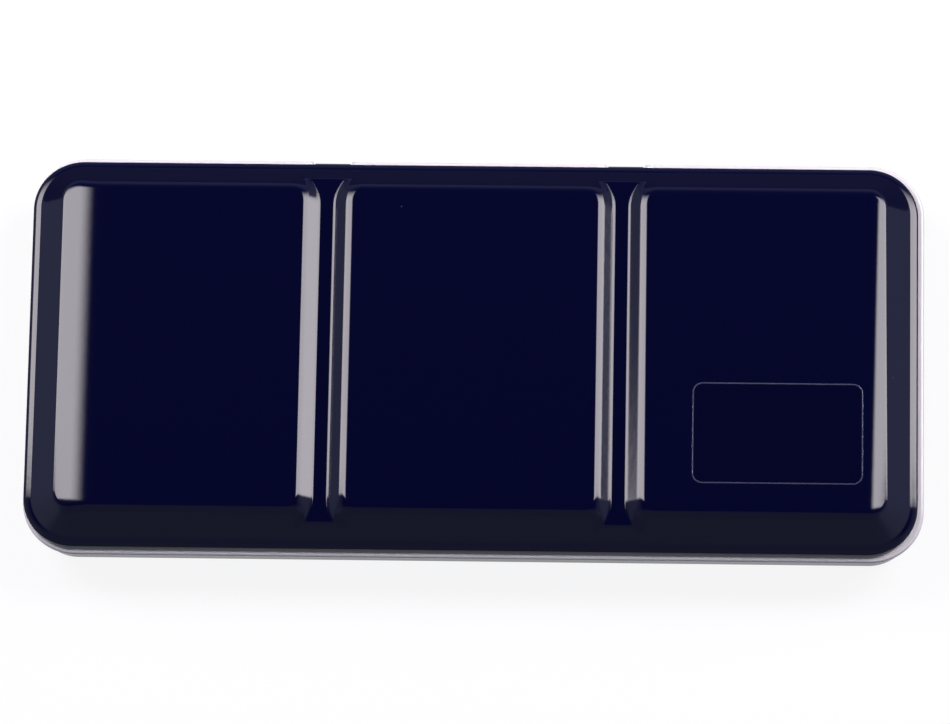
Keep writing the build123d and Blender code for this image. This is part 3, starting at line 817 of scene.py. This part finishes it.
def buildPans():
    s, r = panSpec, rackSpec
    plastic = mouldedPlastic()
    low, high, wall = s["low"], s["high"], s["wall"]
    # outside up the drafted wall to a square lip, over it and down the inner wall to the floor
    panRings = [(0, 0, low), (-0.75, 1, low), (-0.5, 1, low + 0.1), (-0.4, 1, low + 0.4),
                (-0.15, 1, high - 1.5), (-0.12, 1, high - 1.35), (0, 1, high - 1.25), (0, 1, high - 0.15),
                (-0.05, 1, high - 0.04), (-0.15, 1, high), (0.12 - wall, 1, high),
                (0.03 - wall, 1, high - 0.05), (-wall, 1, high - 0.15),
                (-wall - 0.12, 1, s["floor"] + 0.5), (-wall - 0.3, 1, s["floor"] + 0.1),
                (-wall - 0.38, 1, s["floor"]), (0, 0, s["floor"])]
    number = 0
    for row in (-r["rowY"], r["rowY"]):
        for i in range(r["count"]):
            number += 1
            centre = ((i - (r["count"] - 1) / 2) * r["pitch"], row)
            xyz, faces = ringShell(s["size"], s["corner"], panRings, centre, 5, 2)
            pan = makePiece(f"half_pan_{number:02d}", [(xyz, faces)], [plastic], "base")
            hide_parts(f"pan_{number:02d}")
            # cake: a shallow hollow whose edge climbs the wall, dished a little differently in each
            share = np.array([1, 0.985, 0.96, 0.92, 0.86, 0.76, 0.62, 0.45, 0.25, 0.0])
            dish = 0.25 + 0.15 * math.sin(number * 2.4)
            top = s["cakeHigh"] - 0.3 + s["meniscus"] * np.exp(-(1 - share) / 0.045) - dish * (1 - share ** 2)
            rings = [(0, 0, s["floor"] + 0.02), (-0.3, 1, s["floor"] + 0.02), (-0.22, 1, s["floor"] + 0.6)]
            rings += [(0, f, z) for f, z in zip(share, top)]
            xyz, faces = ringShell(s["cakeSize"], s["cakeCorner"], rings, (0, 0), 5, 6)
            ripple = 0.05 * np.sin(xyz[..., 0] * 0.9 + number) * np.sin(xyz[..., 1] * 0.7 + 2 * number)
            xyz[..., 2] += ripple * (np.arange(len(rings)) > 3)
            xyz[..., :2] += centre
            cake = makePiece(f"cake_{number:02d}", [(xyz, faces)],
                             [driedColour(f"dried watercolour {number:02d}", paintColours[number - 1])],
                             "base")
            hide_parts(f"paint_{number:02d}")


buildPans()
print("pans filled")


# Brush: lacquered handle, crimped ferrule and a tuft of separate hairs

brushSpec = {
    "axis": (11.73, 6.35), "start": -67.0, "handle": 104.0, "tip": 1.1, "belly": 3.3, "bellyShare": 0.62,
    "neck": 2.0, "sheet": 0.25, "ferrule": 19.0, "mouth": 1.75, "tuft": 15.0, "insert": 4.0,
    "crimps": (1.3, 2.6), "crimpDepth": 0.16, "crimpWidth": 0.28,
    "hairs": 520, "hair": 0.1, "hairRings": 9, "hairSides": 3,
}


def lacqueredWood():
    # turned birch under dark red lacquer: deep gloss with fine grain along the handle
    material, tree = newMaterial("red lacquered birch")
    place = addNode(tree, "ShaderNodeTexCoord")
    stretch = addNode(tree, "ShaderNodeMapping", {"Scale": (30, 1400, 1400)},
                      {"Vector": place.outputs["Object"]})
    grain = addNode(tree, "ShaderNodeTexNoise", {"Scale": 1.0, "Detail": 4.0},
                    {"Vector": stretch.outputs[0]})
    amount = addNode(tree, "ShaderNodeMapRange", {"From Min": 0.35, "From Max": 0.65},
                     {"Value": grain.outputs[0]})
    tone = addNode(tree, "ShaderNodeMix",
                   {"data_type": "RGBA", 6: hexLinear("4e1210"), 7: hexLinear("7d241d")},
                   {0: amount.outputs[0]})
    shader = addNode(tree, "ShaderNodeBsdfPrincipled",
                     {"Roughness": 0.3, "Coat Weight": 1.0, "Coat Roughness": 0.05, "Coat IOR": 1.5},
                     {"Base Color": tone.outputs[2]})
    finishMaterial(tree, shader)
    return material


def brushHair():
    # natural hair: brown, each one a little lighter or darker, with a soft sheen
    material, tree = newMaterial("brown squirrel hair")
    shade = addNode(tree, "ShaderNodeAttribute", {"attribute_name": "shade"})
    tone = addNode(tree, "ShaderNodeMix",
                   {"data_type": "RGBA", 6: hexLinear("3f2413"), 7: hexLinear("8a5a34")},
                   {0: shade.outputs["Fac"]})
    shader = addNode(tree, "ShaderNodeBsdfPrincipled", {"Roughness": 0.42, "IOR": 1.55},
                     {"Base Color": tone.outputs[2]})
    finishMaterial(tree, shader)
    return material


def buildBrush():
    s = brushSpec
    end = s["start"] + s["handle"]
    ferruleStart = end - s["insert"]
    belly = s["start"] + s["handle"] * s["bellyShare"]
    neck = s["neck"] + s["sheet"]
    # handle: a round tip, a sine swell to the belly and a cosine taper to the neck
    a = np.linspace(0, np.pi / 2, 8)[:-1]
    tip = np.c_[s["start"] + s["tip"] * (1 - np.cos(a)), s["tip"] * np.sin(a)]
    t = np.linspace(0, 1, 40)[:-1]
    swell = np.c_[s["start"] + s["tip"] + (belly - s["start"] - s["tip"]) * t,
                  s["tip"] + (s["belly"] - s["tip"]) * np.sin(t * np.pi / 2) ** 1.25]
    t = np.linspace(0, 1, 24)
    taper = np.c_[belly + (ferruleStart - belly) * t,
                  neck + (s["belly"] - neck) * (1 + np.cos(t * np.pi)) / 2]
    inside = [(ferruleStart, s["neck"]), (end, s["neck"]), (end, 0)]
    handle = makePiece("turned_handle", [lathe(s["axis"], np.concatenate([tip, swell, taper, inside]))],
                       [lacqueredWood()], "base")
    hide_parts("brush_handle")
    # ferrule: a tapering tube with two crimped rings and a rounded mouth
    mouthX = ferruleStart + s["ferrule"]
    x = np.linspace(ferruleStart, mouthX - 0.15, 90)
    r = np.interp(x, [ferruleStart, end, mouthX], [neck, neck, s["mouth"] + s["sheet"]])
    for crimp in s["crimps"]:
        r = r - s["crimpDepth"] * np.exp(-((x - ferruleStart - crimp) / s["crimpWidth"]) ** 2)
    outer = np.c_[x, r]
    mouth = [(mouthX, s["mouth"] + 0.18), (mouthX, s["mouth"] + 0.05), (mouthX - 0.2, s["mouth"])]
    inner = [(end + 0.1, s["neck"]), (ferruleStart, s["neck"])]
    tube = lathe(s["axis"], np.concatenate([outer, mouth, inner]), 48, True)
    ferrule = makePiece("crimped_ferrule", [tube], [nickelled], "base")
    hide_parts("brush_ferrule")
    # tuft: each hair keeps its share of the tuft's radius, which swells and then draws to a point
    rng = np.random.default_rng(7)
    n, rings, sides = s["hairs"], s["hairRings"], s["hairSides"]
    share, turn = np.sqrt(rng.random(n)), rng.random(n) * 2 * np.pi
    reach = 1 - 0.22 * share ** 2 * rng.random(n)
    t = np.linspace(0, 1, rings)[None, :] * reach[:, None]
    radius = (s["mouth"] - 0.1) * (1 - t) ** 0.62 * (1 + 0.95 * t * (1 - t) * 2.2)
    x = mouthX - 0.8 + (s["tuft"] + 0.8) * t
    spread = share[:, None] * radius
    twist = turn[:, None] + 0.25 * (rng.random(n)[:, None] - 0.5) * t
    y, z = s["axis"][0] + spread * np.cos(twist), s["axis"][1] + spread * np.sin(twist)
    thick = s["hair"] * (1 - 0.85 * np.linspace(0, 1, rings) ** 1.5)[None, :]
    corner = np.arange(sides) * 2 * np.pi / sides
    xyz = np.stack([np.broadcast_to(x[..., None], (n, rings, sides)),
                    y[..., None] + thick[..., None] * np.cos(corner),
                    z[..., None] + thick[..., None] * np.sin(corner)], axis=-1).reshape(-1, 3)
    firstPoint = (np.arange(n) * rings * sides)[:, None, None]
    faces = (gridFaces(rings, sides, closeColumns=True)[None] + firstPoint).reshape(-1, 4)
    ends = np.stack([np.arange(sides), np.arange(sides) + (rings - 1) * sides])
    caps = (ends[None] + firstPoint).reshape(-1, sides)
    shade = np.repeat(rng.random(n), rings * sides)
    mesh = bpy.data.meshes.new("hair_tuft")
    mesh.from_pydata(xyz * mm, [], faces.tolist() + caps.tolist())
    mesh.attributes.new("shade", "FLOAT", "POINT").data.foreach_set("value", shade)
    mesh.materials.append(brushHair())
    tool = bmesh.new()
    tool.from_mesh(mesh)
    bmesh.ops.recalc_face_normals(tool, faces=tool.faces)
    tool.to_mesh(mesh)
    tool.free()
    mesh.polygons.foreach_set("use_smooth", np.ones(len(mesh.polygons), bool))
    tuft = bpy.data.objects.new("hair_tuft", mesh)
    bpy.context.scene.collection.objects.link(tuft)
    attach(tuft, "base")
    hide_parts("brush_tuft")


buildBrush()
print("brush made")


# Solids that keep their own shape get their finish

def dressNode(name, material):
    node = bpy.data.objects[name]
    node.data.materials.clear()
    node.data.materials.append(material)


for nodeName, finish in (("hinge_pins", drawnWire), ("thumb_ring", drawnWire), ("ring_bracket", tinned),
                         ("ring_rivets", tinned)):
    dressNode(nodeName, finish)
print("wire and clip dressed")
